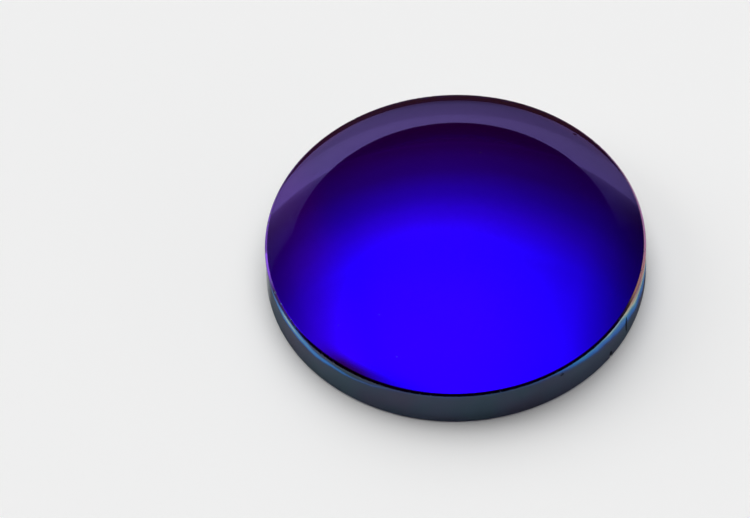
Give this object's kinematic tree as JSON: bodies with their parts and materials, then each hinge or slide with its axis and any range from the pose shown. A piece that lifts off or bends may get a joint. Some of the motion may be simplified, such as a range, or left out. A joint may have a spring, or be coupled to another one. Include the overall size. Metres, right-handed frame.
{
  "type": "eyeglass lens",
  "caption": "Round uncut meniscus lens for eyeglasses: domed front with a blue-violet mirror coat, deeper hollow back, thick polished edge with small bevels.",
  "frame": {"origin": "centre of the circle on which the back rim rests, at z = 0", "axes": "+Z is the optical axis, from the hollow back towards the domed front. The lens is round, so +X is set by the two grip marks in the edge, at 28 and 37 degrees from +X towards -Y."},
  "size_m": [0.07, 0.07, 0.0152],
  "materials": {
    "lens": "polished violet-tinted resin with a blue-violet mirror coat on the domed front"
  },
  "bodies": {
    "root": {"lens": "lens"}
  },
  "joints": []
}
